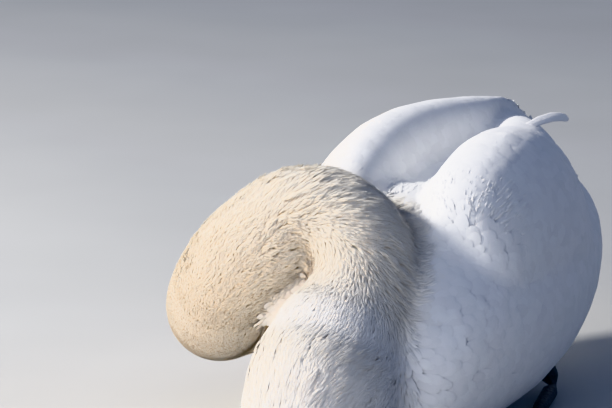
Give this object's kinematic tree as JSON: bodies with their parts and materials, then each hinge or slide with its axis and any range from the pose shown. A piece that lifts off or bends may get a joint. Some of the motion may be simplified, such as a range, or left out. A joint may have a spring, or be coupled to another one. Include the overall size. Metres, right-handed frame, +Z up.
{
  "type": "mute swan",
  "caption": "A mute swan at life size, seated and preening: white body, folded wings held high, cream neck arched over to its right, orange bill laid along the flank.",
  "frame": {"origin": "the middle of the flat of the belly, on the ground", "axes": "+Z up; +Y along the body towards the tail, its longest extent; +X towards the swan's own left side"},
  "size_m": [0.4442, 0.8671, 0.317],
  "materials": {
    "plumage_white": "matte cool white body feathers with a faint silky sheen",
    "plumage_cream": "matte short ruffled feathers, ivory with a rusty cream stain",
    "bill": "smooth horny orange with dark cutting edges and nail",
    "knob": "black fleshy skin, half matte",
    "eye": "wet dark brown",
    "foot": "grey-black scaly skin"
  },
  "bodies": {
    "root": {"trunk": "plumage_white", "tail": "plumage_white", "wing_left": "plumage_white", "wing_right": "plumage_white", "wing_tip_left": "plumage_white", "wing_tip_right": "plumage_white", "neck_root": "plumage_white", "neck_rise": "plumage_cream", "neck_arch": "plumage_cream", "neck_fall": "plumage_cream", "head": "plumage_cream", "bill_upper": "bill", "bill_lower": "bill", "bill_knob": "knob", "eye_left": "eye", "eye_right": "eye", "foot_left": "foot", "shank_left": "foot", "foot_right": "foot", "shank_right": "foot"}
  },
  "joints": []
}
